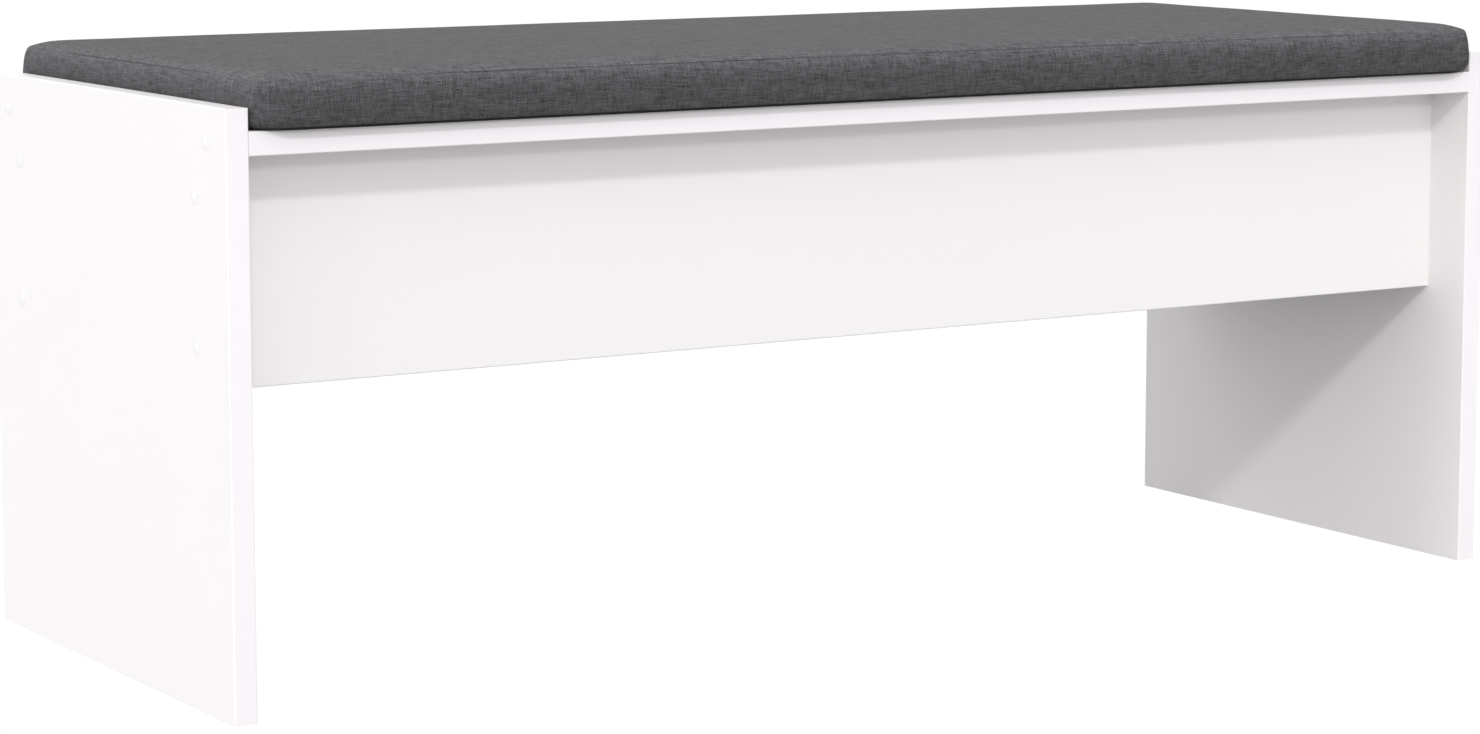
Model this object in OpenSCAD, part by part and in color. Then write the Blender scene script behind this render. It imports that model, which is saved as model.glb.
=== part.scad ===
// Entry bench: white melamine-faced boards screwed together flat-pack fashion,
// with a loose dark grey boxed cushion that lies between the raised side panels.
// Frame: millimetres, origin at the middle of the footprint on the floor,
// +X along the bench's length, +Y towards its back, +Z up.

/* [Bench] */
// Length over the outer faces of the two side panels
bench_w = 1200; // [700:10:1500]
// Depth of the side panels and of the seat board
bench_d = 450; // [380:5:600]
// Height of the side panels
panel_h = 450; // [400:5:550]
// Thickness of every board
board_t = 18; // [16:0.5:22]

/* [Seat and aprons] */
// Step from the top of the side panels down to the seat board
seat_drop = 17; // [8:1:30]
// Height of the front and rear aprons
apron_h = 175; // [110:5:240]
// Distance from a side panel's front or back edge to the nearer apron
apron_setback = 47; // [25:1:80]

/* [Edging] */
// Thickness of the plastic edging on every edge that shows
edging_t = 1; // [0.4:0.1:2]

/* [Screws] */
// Distance of the seat board's screws from the front and back edges
seat_screw_inset = 35; // [25:1:60]
// Distance of the apron screws from the apron's top and bottom
apron_screw_inset = 32; // [20:1:45]
// Length of a one-piece connecting screw, head included
screw_l = 50; // [40:1:60]
// Diameter of the screw's core in the end of a board
screw_core_d = 5; // [4:0.5:6]
// Diameter of the plain collar that runs through the side panel
screw_collar_d = 7; // [6.5:0.5:8]
// Diameter of the countersunk head
screw_head_d = 10; // [9:0.5:12]
// Height of the countersunk head
screw_head_h = 4; // [3:0.5:5]
// Width across the flats of the hexagon socket
socket_af = 4; // [3:0.5:5]
// Depth of the hexagon socket
socket_depth = 4; // [3:0.5:6]
// Gap all round a screw in its hole
screw_clearance = 0.05; // [0.02:0.01:0.2]
// Diameter of the plastic cap over a screw head
cap_d = 15; // [13:0.5:20]
// Height of the cap at its middle
cap_t = 1; // [0.6:0.1:2]
// Height of the cap's straight rim
cap_rim = 0.4; // [0.2:0.1:0.5]

/* [Dowels] */
// Diameter of a beech dowel
dowel_d = 8; // [6:1:8]
// Length of a dowel
dowel_l = 30; // [25:1:40]
// Depth that a dowel reaches into the face of a board
dowel_in_face = 11; // [8:0.5:12]
// Chamfer on each end of a dowel
dowel_chamfer = 1; // [0.5:0.1:1.5]
// Spare depth at each end of a dowel's hole
dowel_spare = 0.5; // [0.2:0.1:1]
// Gap all round a dowel in its hole
dowel_clearance = 0.05; // [0.02:0.01:0.2]
// Distance of the seat board's end dowels from its front and back edges
seat_dowel_inset = 115; // [80:5:150]
// Dowels between each apron and the seat board
seat_apron_dowels = 3; // [2:1:5]
// Distance between those dowels
seat_apron_pitch = 250; // [80:10:280]

/* [Cushion] */
// Height of the cushion's side band, up to its top seam
band_h = 37; // [25:1:60]
// Rise of the top panel beside its seam, where the foam fills it out
top_rise = 5; // [2:0.5:10]
// Width over which the top panel rounds over beside its seam
top_round = 22; // [8:1:40]
// Further rise of the top panel towards the middle of the cushion
top_crown = 2; // [0.5:0.5:12]
// Depth by which the side band's top seam lies behind its bulge
top_tuck = 4.5; // [1:0.5:6]
// Depth by which the side band's bottom seam lies behind its bulge
bottom_tuck = 2; // [1:0.5:5]
// Depth by which the sides pull in between the corners
side_draw = 1.2; // [0:0.1:4]
// Radius of the cushion's upright corners in plan
corner_r = 14; // [8:1:40]
// Distance that the cushion's bulge stands out over the seat board's front edge
cushion_overhang = 12; // [0:1:15]
// Gap between the cushion and each side panel
cushion_side_gap = 1.5; // [0.5:0.5:8]
// Distance from the cushion's back to the back edge of the bench
cushion_back_gap = 3; // [3:0.5:10]
// Gap under the cushion, so that it lies free on the seat board
cushion_rest_gap = 0.3; // [0.1:0.1:0.5]
// Thickness of the cover's fabric
cover_t = 1; // [0.5:0.1:1.5]

/* [Zip] */
// Width of the zip tape along the back of the cushion
zip_w = 10; // [6:1:14]
// Thickness of the zip
zip_t = 0.9; // [0.5:0.1:1.2]
// Length of the zip's slider
slider_l = 9; // [6:1:12]
// Length of the slider's pull tab
pull_l = 22; // [12:1:30]
// Thickness of the slider
slider_t = 1.6; // [1:0.1:1.8]

/* [Hidden] */
$fn = 48;

// The cushion reaches furthest forward and the boards furthest back
total_d = bench_d + cushion_overhang;
front_y = cushion_overhang - total_d / 2;
back_y = front_y + bench_d;
mid_y = (front_y + back_y) / 2;
outer_x = bench_w / 2;
inner_x = outer_x - board_t;
seat_top = panel_h - seat_drop;
seat_bottom = seat_top - board_t;
apron_bottom = seat_bottom - apron_h;
apron_offset = bench_d / 2 - apron_setback - board_t / 2;
apron_front_y = mid_y - apron_offset;
apron_rear_y = mid_y + apron_offset;

// Screws and dowels of one end of the bench, each at [y, z]
seat_screw_at = [for (s = [-1, 1])
    [mid_y + s * (bench_d / 2 - seat_screw_inset), seat_top - board_t / 2]];
apron_screw_at = [for (y = [apron_front_y, apron_rear_y])
    for (z = [apron_bottom + apron_screw_inset, seat_bottom - apron_screw_inset]) [y, z]];
screw_at = concat(seat_screw_at, apron_screw_at);
seat_dowel_at = [for (s = [-1, 1])
    [mid_y + s * (bench_d / 2 - seat_dowel_inset), seat_top - board_t / 2]];
apron_dowel_at = [for (y = [apron_front_y, apron_rear_y]) [y, apron_bottom + apron_h / 2]];
end_dowel_at = concat(seat_dowel_at, apron_dowel_at);
seat_apron_x = [for (i = [0:seat_apron_dowels - 1])
    (i - (seat_apron_dowels - 1) / 2) * seat_apron_pitch];
tip_l = 4;
tip_d = 2;
plug_clearance = 0.1;

// Cushion, in plan and in height
cushion_front = front_y - cushion_overhang;
cushion_back = back_y - cushion_back_gap;
cushion_mid_y = (cushion_front + cushion_back) / 2;
half_w = inner_x - cushion_side_gap;
half_d = (cushion_back - cushion_front) / 2;
cushion_z = seat_top + cushion_rest_gap;
flat_low = (band_h - zip_w) / 2;
flat_high = (band_h + zip_w) / 2;
corner_steps = 5;
long_steps = 4;
short_steps = 2;

// Rise of the top panel above its seam, at a distance in from the seam
function top_height(s) =
    band_h + top_rise * (1 - pow(1 - min(s / top_round, 1), 2))
    + top_crown * (1 - pow(1 - min(s / half_d, 1), 2));
round_at = [for (k = [0.12, 0.35, 0.65, 1]) k * top_round];
crown_at = [for (k = [0.3, 0.6, 0.85]) k * half_d];

// Cross sections of the cover as [inset from the outline, height], outside and inside
band_outside = [[bottom_tuck, 0], [bottom_tuck * 0.35, flat_low * 0.4], [0, flat_low],
                [0, flat_high], [top_tuck * 0.35, band_h - flat_low * 0.4],
                [top_tuck, band_h]];
band_inside = [[bottom_tuck + cover_t, cover_t], [bottom_tuck * 0.35 + cover_t, flat_low * 0.4],
               [cover_t, flat_low], [cover_t, flat_high],
               [top_tuck * 0.35 + cover_t, band_h - flat_low * 0.4],
               [top_tuck + cover_t, band_h - cover_t]];
top_outside = [for (s = concat(round_at, crown_at)) [top_tuck + s, top_height(s)]];
top_inside = [for (p = top_outside) [p[0] + cover_t, p[1] - cover_t]];

// One ring of the cushion: a rounded rectangle whose sides pull in between the corners
function corner_points(k, a, b, r) =
    let (sx = (k == 0 || k == 3) ? 1 : -1, sy = k < 2 ? 1 : -1)
    [for (i = [0:corner_steps]) let (t = 90 * k + 90 * i / corner_steps)
        [sx * (a - r) + r * cos(t), sy * (b - r) + r * sin(t)]];
function side_points(k, a, b, r) =
    let (n = k % 2 == 0 ? long_steps : short_steps, sign = k < 2 ? 1 : -1)
    [for (i = [1:n - 1]) let (f = i / n, draw = side_draw * sin(180 * f))
        k % 2 == 0 ? [sign * (a - r) * (1 - 2 * f), sign * (b - draw)]
                   : [-sign * (a - draw), sign * (b - r) * (1 - 2 * f)]];
function ring(section) =
    let (a = half_w - section[0], b = half_d - section[0], r = corner_r)
    [for (k = [0:3]) each concat(corner_points(k, a, b, r), side_points(k, a, b, r))];
function raised(section) = [for (p = ring(section)) [p[0], p[1] + cushion_mid_y,
                                                     section[1] + cushion_z]];

// Skin over a run of cushion rings, each with the same number of points. Every quad is cut from
// its lower left to its upper right, so that two pieces that share rings share their faces too.
module loft(sections, closed) {
    rings = [for (s = sections) raised(s)];
    n = len(rings[0]);
    m = len(rings);
    walls = [for (j = [0:(closed ? m - 1 : m - 2)]) for (i = [0:n - 1])
        let (a = j * n + i, b = j * n + (i + 1) % n,
             c = ((j + 1) % m) * n + (i + 1) % n, d = ((j + 1) % m) * n + i,
             rising = sections[(j + 1) % m][1] > sections[j][1])
        each (rising ? [[a, d, c], [a, c, b]] : [[a, d, b], [d, c, b]])];
    ends = [[0, cushion_mid_y, sections[0][1] + cushion_z],
            [0, cushion_mid_y, sections[m - 1][1] + cushion_z]];
    first_cap = [for (i = [0:n - 1]) [m * n, i, (i + 1) % n]];
    last_cap = [for (i = [0:n - 1]) [m * n + 1, (m - 1) * n + (i + 1) % n, (m - 1) * n + i]];
    polyhedron(points = [each for (r = rings) r, each (closed ? [] : ends)],
               faces = concat(walls, closed ? [] : first_cap, closed ? [] : last_cap),
               convexity = 6);
}

function backwards(list) = [for (i = [len(list) - 1:-1:0]) list[i]];

// Places its children at the left end (-1) or the right end (1) of the bench
module at_end(side) mirror([side < 0 ? 1 : 0, 0, 0]) children();

// Turns a shape that points down -Z so that it points from a side panel into the bench
module into_panel(at) translate([outer_x, at[0], at[1]]) rotate([0, 90, 0]) children();

// Outline of a connecting screw, its head in the plane z = 0 and its tip down
module screw_body(grow) {
    translate([0, 0, -screw_head_h]) cylinder(h = screw_head_h + grow,
        d1 = screw_collar_d + 2 * grow, d2 = screw_head_d + 2 * grow);
    translate([0, 0, -board_t]) cylinder(h = board_t, d = screw_collar_d + 2 * grow);
    translate([0, 0, tip_l - screw_l]) cylinder(h = screw_l - tip_l,
        d = screw_core_d + 2 * grow);
    translate([0, 0, -screw_l - grow]) cylinder(h = tip_l + grow,
        d1 = tip_d + 2 * grow, d2 = screw_core_d + 2 * grow);
}

module hexagon(af, h) cylinder(h = h, d = af / cos(30), $fn = 6);

module screw() difference() {
    screw_body(0);
    translate([0, 0, -socket_depth]) hexagon(socket_af, socket_depth + 1);
}

// Domed cap that covers a screw head, with a plug that presses into the socket
module screw_cap() {
    dome_r = (pow(cap_d / 2, 2) + pow(cap_t - cap_rim, 2)) / (2 * (cap_t - cap_rim));
    rotate_extrude() intersection() {
        square([cap_d / 2, cap_t]);
        translate([0, cap_t - dome_r]) circle(dome_r, $fn = 720);
    }
    translate([0, 0, -socket_depth * 0.75])
        hexagon(socket_af - 2 * plug_clearance, socket_depth * 0.75);
}

// Dowel that stands on z = 0, and the hole that takes it, open at both ends of its length
module dowel() {
    cylinder(h = dowel_chamfer, d1 = dowel_d - 2 * dowel_chamfer, d2 = dowel_d);
    translate([0, 0, dowel_chamfer]) cylinder(h = dowel_l - 2 * dowel_chamfer, d = dowel_d);
    translate([0, 0, dowel_l - dowel_chamfer])
        cylinder(h = dowel_chamfer, d1 = dowel_d, d2 = dowel_d - 2 * dowel_chamfer);
}
module dowel_hole() translate([0, 0, -dowel_spare])
    cylinder(h = dowel_l + 2 * dowel_spare, d = dowel_d + 2 * dowel_clearance);

// Where the dowels lie: across the end joints, and upright between apron and seat
module at_end_dowels(places) for (at = places)
    translate([inner_x + dowel_in_face, at[0], at[1]]) rotate([0, -90, 0]) children();
module at_upright_dowels(y) for (x = seat_apron_x)
    translate([x, y, seat_bottom + dowel_in_face - dowel_l]) children();

module board(low, high) translate(low) cube(high - low);

// Strip of edging with rounded arrises: its back on z = 0, its length along +Y
module edging(length) rotate([90, 0, 180]) linear_extrude(length) intersection() {
    union() {
        translate([-board_t / 2 + edging_t, 0])
            square([board_t - 2 * edging_t, edging_t]);
        for (s = [-1, 1]) translate([s * (board_t / 2 - edging_t), 0]) circle(edging_t);
    }
    translate([-board_t / 2, 0]) square([board_t, edging_t]);
}

// Side panels, drilled through for the screws and blind for the dowels
module side_panel(side) at_end(side) difference() {
    board([inner_x, front_y + edging_t, 0], [outer_x, back_y - edging_t, panel_h - edging_t]);
    for (at = screw_at) into_panel(at) screw_body(screw_clearance);
    at_end_dowels(end_dowel_at) dowel_hole();
}
module left_side_panel() color("white") side_panel(-1);
module right_side_panel() color("white") side_panel(1);

// Edging up the front, along the top and down the back of a side panel
module panel_edging(side) at_end(side) translate([inner_x + board_t / 2, 0, 0]) {
    translate([0, front_y + edging_t, 0]) rotate([90, 0, 0]) edging(panel_h);
    translate([0, back_y - edging_t, panel_h]) rotate([-90, 0, 0]) edging(panel_h);
    translate([0, front_y + edging_t, panel_h - edging_t]) edging(bench_d - 2 * edging_t);
}
module left_panel_edging() color("whitesmoke") panel_edging(-1);
module right_panel_edging() color("whitesmoke") panel_edging(1);

// Seat board between the panels, with screws and dowels in its ends
module seat_board() color("white") difference() {
    board([-inner_x, front_y + edging_t, seat_bottom], [inner_x, back_y - edging_t, seat_top]);
    for (side = [-1, 1]) at_end(side) {
        for (at = seat_screw_at) into_panel(at) screw_body(screw_clearance);
        at_end_dowels(seat_dowel_at) dowel_hole();
    }
    for (y = [apron_front_y, apron_rear_y]) at_upright_dowels(y) dowel_hole();
}
module seat_edging() color("whitesmoke") translate([-inner_x, 0, seat_bottom + board_t / 2]) {
    translate([0, front_y + edging_t, 0]) rotate([90, 0, 0]) rotate([0, 0, -90])
        edging(2 * inner_x);
    translate([0, back_y - edging_t, 0]) rotate([-90, 0, 0]) rotate([0, 0, -90])
        edging(2 * inner_x);
}

// Aprons that stiffen the seat board from below
module apron(y) difference() {
    board([-inner_x, y - board_t / 2, apron_bottom + edging_t],
          [inner_x, y + board_t / 2, seat_bottom]);
    for (side = [-1, 1]) at_end(side) {
        for (at = apron_screw_at) into_panel(at) screw_body(screw_clearance);
        at_end_dowels(apron_dowel_at) dowel_hole();
    }
    at_upright_dowels(y) dowel_hole();
}
module front_apron() color("white") apron(apron_front_y);
module rear_apron() color("white") apron(apron_rear_y);

// Edging under an apron
module apron_edging(y) translate([-inner_x, y, apron_bottom + edging_t])
    rotate([180, 0, 0]) rotate([0, 0, -90]) edging(2 * inner_x);
module front_apron_edging() color("whitesmoke") apron_edging(apron_front_y);
module rear_apron_edging() color("whitesmoke") apron_edging(apron_rear_y);

// Fasteners of each end
module end_screws(side) at_end(side) for (at = screw_at) into_panel(at) screw();
module left_screws() color("silver") end_screws(-1);
module right_screws() color("silver") end_screws(1);
module end_caps(side) at_end(side) for (at = screw_at) into_panel(at) screw_cap();
module left_screw_caps() color("ghostwhite") end_caps(-1);
module right_screw_caps() color("ghostwhite") end_caps(1);
module seat_end_dowels() color("burlywood")
    for (side = [-1, 1]) at_end(side) at_end_dowels(seat_dowel_at) dowel();
module apron_end_dowels() color("burlywood")
    for (side = [-1, 1]) at_end(side) at_end_dowels(apron_dowel_at) dowel();
module seat_to_apron_dowels() color("burlywood")
    for (y = [apron_front_y, apron_rear_y]) at_upright_dowels(y) dowel();

// Cushion: a foam slab in a cover sewn from a top, a side band and a bottom
module cushion_foam() color("khaki")
    loft(concat(band_inside, top_inside), false);
module cushion_top_panel() color("gray")
    loft(concat(backwards(top_outside), [band_outside[5], band_inside[5]], top_inside), false);
module cushion_side_band() color("dimgray")
    loft(concat(band_outside, backwards(band_inside)), true);
module cushion_bottom_panel() color("dimgray")
    loft([band_outside[0], band_inside[0]], false);

// Zip along the back of the side band, from corner to corner
module cushion_zip() color("black") {
    n = long_steps + 1;
    low = raised([0, flat_low]);
    high = raised([0, flat_high]);
    stations = [for (i = [0:long_steps]) let (p = low[corner_steps + i],
                                              q = high[corner_steps + i])
        each [p, q, q + [0, zip_t, 0], p + [0, zip_t, 0]]];
    walls = [for (i = [0:n - 2]) for (k = [0:3])
        let (a = 4 * i + k, b = 4 * i + (k + 1) % 4)
        each [[a, a + 4, b + 4], [a, b + 4, b]]];
    ends = [[0, 1, 2], [0, 2, 3], [4 * n - 4, 4 * n - 2, 4 * n - 3],
            [4 * n - 4, 4 * n - 1, 4 * n - 2]];
    polyhedron(points = stations, faces = concat(walls, ends));
}

// Slider of the zip, closed at the right-hand end, its pull tab lying flat
module cushion_zip_slider() color("silver")
    translate([half_w - corner_r - slider_l, cushion_back + zip_t, cushion_z + band_h / 2]) {
        translate([0, 0, -zip_w * 0.35]) cube([slider_l, slider_t, zip_w * 0.7]);
        translate([-pull_l, slider_t * 0.25, -zip_w * 0.2])
            cube([pull_l + 1, slider_t * 0.5, zip_w * 0.4]);
    }

left_side_panel();
right_side_panel();
seat_board();
front_apron();
rear_apron();
left_panel_edging();
right_panel_edging();
seat_edging();
front_apron_edging();
rear_apron_edging();
left_screws();
right_screws();
left_screw_caps();
right_screw_caps();
seat_end_dowels();
apron_end_dowels();
seat_to_apron_dowels();
cushion_foam();
cushion_top_panel();
cushion_side_band();
cushion_bottom_panel();
cushion_zip();
cushion_zip_slider();
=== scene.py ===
"""Looks of the entry bench: a white board bench with a loose grey boxed cushion."""

import math

import bmesh
import bpy
from mathutils import Matrix, Vector, noise
from mathutils.bvhtree import BVHTree


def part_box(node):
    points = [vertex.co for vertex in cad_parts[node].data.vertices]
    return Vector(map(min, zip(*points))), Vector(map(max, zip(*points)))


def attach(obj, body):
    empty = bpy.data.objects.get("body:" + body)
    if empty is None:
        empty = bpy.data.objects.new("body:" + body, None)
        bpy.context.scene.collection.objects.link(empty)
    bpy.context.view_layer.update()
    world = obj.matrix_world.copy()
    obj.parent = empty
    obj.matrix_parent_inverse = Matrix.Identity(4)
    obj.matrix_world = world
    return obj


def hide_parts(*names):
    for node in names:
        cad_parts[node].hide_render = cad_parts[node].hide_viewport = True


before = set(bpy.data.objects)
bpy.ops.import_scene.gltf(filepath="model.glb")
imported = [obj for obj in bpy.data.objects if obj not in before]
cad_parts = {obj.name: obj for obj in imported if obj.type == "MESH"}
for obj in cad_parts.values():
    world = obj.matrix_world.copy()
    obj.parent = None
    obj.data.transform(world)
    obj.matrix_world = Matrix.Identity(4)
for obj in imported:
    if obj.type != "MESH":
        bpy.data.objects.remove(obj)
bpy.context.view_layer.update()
scene = bpy.context.scene

# Camera
# Stands to the left of the bench, a little above it, and looks along it to the right. The
# frame is shifted down in place of part of the tilt, which keeps the boards nearly upright.
PHOTO_WIDTH_PX = 1480
FOCAL_PX = 3920.4
SENSOR_WIDTH_MM = 36.0
CAMERA_PLACE = (-1.7665, -2.7763, 0.6702)
CAMERA_TURN_RIGHT = 0.5588
CAMERA_TILT_DOWN = 0.125
CAMERA_SHIFT_PX = -77
CLIP_NEAR = 0.1
CLIP_FAR = 200.0


def add_object(name, data):
    """A new object in the scene, at the origin."""
    made = bpy.data.objects.new(name, data)
    scene.collection.objects.link(made)
    return made


camera_data = bpy.data.cameras.new("camera")
camera_data.sensor_width = SENSOR_WIDTH_MM
camera_data.lens = FOCAL_PX / PHOTO_WIDTH_PX * SENSOR_WIDTH_MM
camera_data.shift_y = CAMERA_SHIFT_PX / PHOTO_WIDTH_PX
camera_data.clip_start = CLIP_NEAR
camera_data.clip_end = CLIP_FAR
camera = add_object("camera", camera_data)
camera.location = CAMERA_PLACE
camera.rotation_euler = (math.pi / 2 - CAMERA_TILT_DOWN, 0.0, -CAMERA_TURN_RIGHT)
scene.camera = camera

# Studio
# A large white sheet on the floor, pale walls all round, the left one brighter, and far soft
# lamps. The sheet looks brighter to the camera than it lights the boards, as a white
# background in a picture does.
SUNS = {
    # name: (direction the light travels, strength, angle across in degrees)
    "key_from_front": ((0.342, 0.744, -0.595), 0.793, 4.5),
    "key_from_left": ((0.885, 0.368, -0.295), 0.149, 4.5),
    "low_from_front": ((0.03, 0.957, -0.287), 0.357, 5.0),
    "left_along_fronts": ((0.963, 0.03, -0.268), 0.301, 4.0),
}
SUN_PLACE = (0, 0, 3)
WALL_GLOW = 0.975
LEFT_WALL_ADDS = 0.666
TOWARDS_LEFT_WALL = (-1.0, 0.0, 0.0)
WHITE = (1, 1, 1, 1)
SHEET_WHITE = 0.42
SHEET_SEEN_GLOW = 1.05
SHEET_SEEN_SHARE = 0.95
SHEET_HALF = 60.0
SHEET_Z = -0.0004


def sun(name, travels, strength, angle):
    """A lamp so far away that all its light travels one way."""
    data = bpy.data.lights.new(name, "SUN")
    data.energy = strength
    data.angle = math.radians(angle)
    lamp = add_object(name, data)
    lamp.rotation_mode = "QUATERNION"
    lamp.rotation_quaternion = Vector(travels).to_track_quat("-Z", "Y")
    lamp.location = SUN_PLACE


def empty_tree(owner):
    """The node tree of a world or material, with nothing in it."""
    owner.use_nodes = True
    owner.node_tree.nodes.clear()
    return owner.node_tree


def add(tree, kind, inputs=None, **settings):
    """A node of that kind, with its settings made and its sockets filled or wired."""
    node = tree.nodes.new(kind)
    for name, value in settings.items():
        setattr(node, name, value)
    for socket, value in (inputs or {}).items():
        if isinstance(value, bpy.types.NodeSocket):
            tree.links.new(value, node.inputs[socket])
        else:
            node.inputs[socket].default_value = value
    return node


def calc(tree, operation, *values):
    """One step of arithmetic in a node tree, as a socket."""
    return add(tree, "ShaderNodeMath", dict(enumerate(values)), operation=operation).outputs[0]


def new_material(name):
    """A new material and its empty node tree."""
    made = bpy.data.materials.new(name)
    return made, empty_tree(made)


def object_of(name, shape):
    """An object made of a finished bmesh, which is freed."""
    mesh = bpy.data.meshes.new(name)
    shape.to_mesh(mesh)
    shape.free()
    return add_object(name, mesh)


for name, facts in SUNS.items():
    sun(name, *facts)

walls = bpy.data.worlds.new("pale_walls")
scene.world = walls
tree = empty_tree(walls)
way = add(tree, "ShaderNodeTexCoord").outputs["Generated"]
facing = add(tree, "ShaderNodeVectorMath", {0: way, 1: TOWARDS_LEFT_WALL},
             operation="DOT_PRODUCT")
half = calc(tree, "MAXIMUM", facing.outputs["Value"], 0.0)
shine = calc(tree, "MULTIPLY_ADD", half, LEFT_WALL_ADDS, WALL_GLOW)
glow = add(tree, "ShaderNodeBackground", {"Color": WHITE, "Strength": shine})
seen = add(tree, "ShaderNodeBackground", {"Color": WHITE, "Strength": SHEET_SEEN_GLOW})
ray = add(tree, "ShaderNodeLightPath").outputs["Is Camera Ray"]
both = add(tree, "ShaderNodeMixShader", {0: ray, 1: glow.outputs[0], 2: seen.outputs[0]})
add(tree, "ShaderNodeOutputWorld", {"Surface": both.outputs[0]})

sheet = bmesh.new()
bmesh.ops.create_grid(sheet, x_segments=1, y_segments=1, size=SHEET_HALF)
bmesh.ops.translate(sheet, verts=sheet.verts, vec=(0, 0, SHEET_Z))
studio_floor = object_of("studio_floor", sheet)
floor_white, tree = new_material("floor_white")
matt = add(tree, "ShaderNodeBsdfDiffuse", {"Color": (SHEET_WHITE,) * 3 + (1,)})
seen = add(tree, "ShaderNodeEmission", {"Color": WHITE, "Strength": SHEET_SEEN_GLOW})
ray = add(tree, "ShaderNodeLightPath").outputs["Is Camera Ray"]
share = calc(tree, "MULTIPLY", ray, SHEET_SEEN_SHARE)
both = add(tree, "ShaderNodeMixShader", {0: share, 1: matt.outputs[0], 2: seen.outputs[0]})
add(tree, "ShaderNodeOutputMaterial", {"Surface": both.outputs[0]})
studio_floor.data.materials.append(floor_white)
scene.view_settings.view_transform = "Standard"
scene.view_settings.look = "None"

# Boards
# Side panels, seat board and aprons: 18 mm particleboard faced with satin white melamine,
# sawn and drilled to size. Only the feet of the side panels show the raw board.
MELAMINE = (0.835, 0.815, 0.815, 1)
MELAMINE_SHADE = (0.815, 0.797, 0.800, 1)
MELAMINE_ROUGHNESS = (0.36, 0.46)
MELAMINE_IOR = 1.48
CLOUD_SIZE = 0.35
PEARL_SIZE = 0.0011
PEARL_DEPTH = 0.00002
PEARL_STRENGTH = 0.5
RAW_BOARD = (0.50, 0.37, 0.22, 1)
RAW_BOARD_CHIP = (0.66, 0.54, 0.36, 1)
RAW_BOARD_ROUGHNESS = 0.9
CHIP_SIZE = 0.0035
FOOT_HEIGHT = 0.0001
NUMBER, VECTOR, COLOUR = "NodeSocketFloat", "NodeSocketVector", "NodeSocketColor"


def place_on_piece(tree):
    """Where a point of the surface lies in the bench's own frame, as a socket."""
    return add(tree, "ShaderNodeTexCoord").outputs["Object"]


def mix(tree, share, first, second):
    """A number that is the first where the share is 0 and the second where it is 1."""
    return add(tree, "ShaderNodeMix", {0: share, 2: first, 3: second}).outputs[0]


def mix_colours(tree, share, first, second):
    """A colour that is the first where the share is 0 and the second where it is 1."""
    return add(tree, "ShaderNodeMix", {0: share, 6: first, 7: second},
               data_type="RGBA").outputs[2]


def spread(tree, value, low, high, start=0.0, end=1.0):
    """Spreads a value that runs from start to end over low to high, as a socket."""
    return add(tree, "ShaderNodeMapRange",
               {0: value, 1: start, 2: end, 3: low, 4: high}).outputs[0]


def bump(tree, height, depth, strength):
    """The normal of a surface with that relief, as a socket."""
    return add(tree, "ShaderNodeBump", {"Strength": strength, "Distance": depth,
                                        "Height": height}).outputs[0]


def finish_material(tree, values):
    """The surface shader, with its sockets wired to what varies or set to what doesn't."""
    shader = add(tree, "ShaderNodeBsdfPrincipled", values)
    add(tree, "ShaderNodeOutputMaterial", {"Surface": shader.outputs[0]})


def give(nodes, material):
    """Puts a material on CAD nodes in place of their plain one."""
    for node in nodes:
        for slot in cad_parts[node].material_slots:
            slot.link = "OBJECT"
            slot.material = material


def new_group(name, inputs, outputs):
    """A shader group with named sockets, and the sockets that hand its inputs on."""
    group = bpy.data.node_groups.new(name, "ShaderNodeTree")
    for in_out, sockets in (("INPUT", inputs), ("OUTPUT", outputs)):
        for socket, kind in sockets.items():
            group.interface.new_socket(socket, in_out=in_out, socket_type=kind)
    return group, add(group, "NodeGroupInput").outputs


def pressed_surface_group():
    """Fine pearl texture of a pressed or rolled plastic surface, with slow clouds in it."""
    group, given = new_group("pressed_surface", {"Cloud Size": NUMBER, "Pearl Size": NUMBER},
                             {"Cloud": NUMBER, "Pearl": NUMBER})
    place = place_on_piece(group)
    cloud = add(group, "ShaderNodeTexNoise", {
        "Vector": place, "Scale": calc(group, "DIVIDE", 1.0, given["Cloud Size"]),
        "Detail": 4.0, "Roughness": 0.6})
    pearl = add(group, "ShaderNodeTexNoise", {
        "Vector": place, "Scale": calc(group, "DIVIDE", 1.0, given["Pearl Size"]),
        "Detail": 2.0, "Roughness": 0.5})
    add(group, "NodeGroupOutput", {"Cloud": cloud.outputs["Fac"], "Pearl": pearl.outputs["Fac"]})
    return group


pressed_surface = pressed_surface_group()
melamine, tree = new_material("white_melamine")
surface = add(tree, "ShaderNodeGroup", {"Cloud Size": CLOUD_SIZE, "Pearl Size": PEARL_SIZE},
              node_tree=pressed_surface)
face = mix_colours(tree, surface.outputs["Cloud"], MELAMINE_SHADE, MELAMINE)
place = place_on_piece(tree)
chips = add(tree, "ShaderNodeTexVoronoi", {"Vector": place, "Scale": 1.0 / CHIP_SIZE,
                                           "Randomness": 1.0})
chip_shade = add(tree, "ShaderNodeSeparateColor", {0: chips.outputs["Color"]})
core = mix_colours(tree, chip_shade.outputs[0], RAW_BOARD, RAW_BOARD_CHIP)
height = add(tree, "ShaderNodeSeparateXYZ", {0: place}).outputs["Z"]
foot = calc(tree, "LESS_THAN", height, FOOT_HEIGHT)
gloss = spread(tree, surface.outputs["Cloud"], *MELAMINE_ROUGHNESS)
finish_material(tree, {
    "Base Color": mix_colours(tree, foot, face, core),
    "Roughness": mix(tree, foot, gloss, RAW_BOARD_ROUGHNESS),
    "IOR": MELAMINE_IOR,
    "Normal": bump(tree, surface.outputs["Pearl"], PEARL_DEPTH, PEARL_STRENGTH)})
give(["left_side_panel", "right_side_panel", "seat_board", "front_apron", "rear_apron"],
     melamine)

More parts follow.
